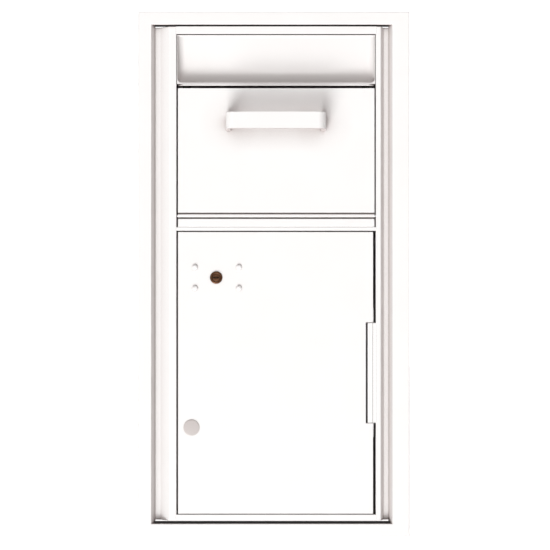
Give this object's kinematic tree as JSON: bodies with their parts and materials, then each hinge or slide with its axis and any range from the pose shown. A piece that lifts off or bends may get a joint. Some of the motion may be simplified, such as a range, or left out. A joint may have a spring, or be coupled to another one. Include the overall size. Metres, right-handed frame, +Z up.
{
  "type": "parcel drop box",
  "caption": "Recess-mounted parcel drop box: a pull-down hopper door with a bow handle over a lockable access door, in a face frame with a wide wall trim.",
  "frame": {"origin": "on the underside of the cabinet, 200 mm behind the wall's face, on the trim's centre line", "axes": "+Z up, +X to the right seen from the front, +Y into the wall; the doors face -Y"},
  "size_m": [0.4216, 0.438, 0.8153],
  "materials": {
    "white_coat": "satin white powder coat",
    "steel": "zinc-plated steel",
    "bronze": "dark antique bronze",
    "grey_plastic": "warm grey moulded plastic",
    "nylon": "natural nylon",
    "rubber": "black rubber"
  },
  "bodies": {
    "cabinet": {"trim_left": "white_coat", "trim_right": "white_coat", "trim_top": "white_coat", "trim_bottom": "white_coat", "seal_top": "rubber", "seal_bottom": "rubber", "frame_left_stile": "white_coat", "frame_right_stile": "white_coat", "frame_top_rail": "white_coat", "frame_mid_rail": "white_coat", "frame_bottom_rail": "white_coat", "cabinet_left_side": "white_coat", "cabinet_right_side": "white_coat", "cabinet_top": "white_coat", "cabinet_bottom": "white_coat", "cabinet_back": "white_coat", "hood_panel": "white_coat", "hood_end_left": "white_coat", "hood_end_right": "white_coat", "hood_lip": "white_coat", "hopper_sill": "white_coat", "hopper_hinge_pin": "steel", "hopper_bearing_left": "nylon", "hopper_bearing_right": "nylon", "hopper_stop_left": "white_coat", "hopper_stop_right": "white_coat", "hopper_bumper_left": "rubber", "hopper_bumper_right": "rubber", "anti_fish_baffle": "white_coat", "hinge_block": "white_coat", "access_hinge_pin": "steel", "strike_plate": "white_coat", "door_bumper_lower": "rubber", "door_bumper_upper": "rubber"},
    "hopper": {"hopper_door_panel": "white_coat", "hopper_handle": "white_coat", "handle_screw_left": "steel", "handle_screw_right": "steel", "hopper_side_left": "white_coat", "hopper_side_right": "white_coat", "hopper_tray": "white_coat", "tray_counterweight": "steel", "counterweight_screw_left": "steel", "counterweight_screw_right": "steel"},
    "access_door": {"access_door_panel": "white_coat", "access_door_stiffener": "white_coat", "hinge_lug_lower": "steel", "hinge_lug_upper": "steel", "lock_plate": "white_coat", "rivet_lower_left": "white_coat", "rivet_lower_right": "white_coat", "rivet_upper_left": "white_coat", "rivet_upper_right": "white_coat", "lock_body": "bronze", "lock_nut": "steel", "hole_plug": "grey_plastic"},
    "lock": {"lock_plug": "bronze", "lock_cam": "steel", "cam_screw": "steel"}
  },
  "joints": [
    {"name": "hopper_hinge", "type": "hinge", "parent": "cabinet", "child": "hopper", "pos_m": [0, -0.1952, 0.4747], "axis": [1, 0, 0], "range_deg": [0, 65]},
    {"name": "access_hinge", "type": "hinge", "parent": "cabinet", "child": "access_door", "pos_m": [0.152, -0.1962, 0.23015], "axis": [0, 0, 1], "range_deg": [0, 100]},
    {"name": "lock_turn", "type": "hinge", "parent": "access_door", "child": "lock", "pos_m": [-0.0896, -0.2012, 0.3782], "axis": [0, 1, 0], "range_deg": [0, 90]}
  ]
}
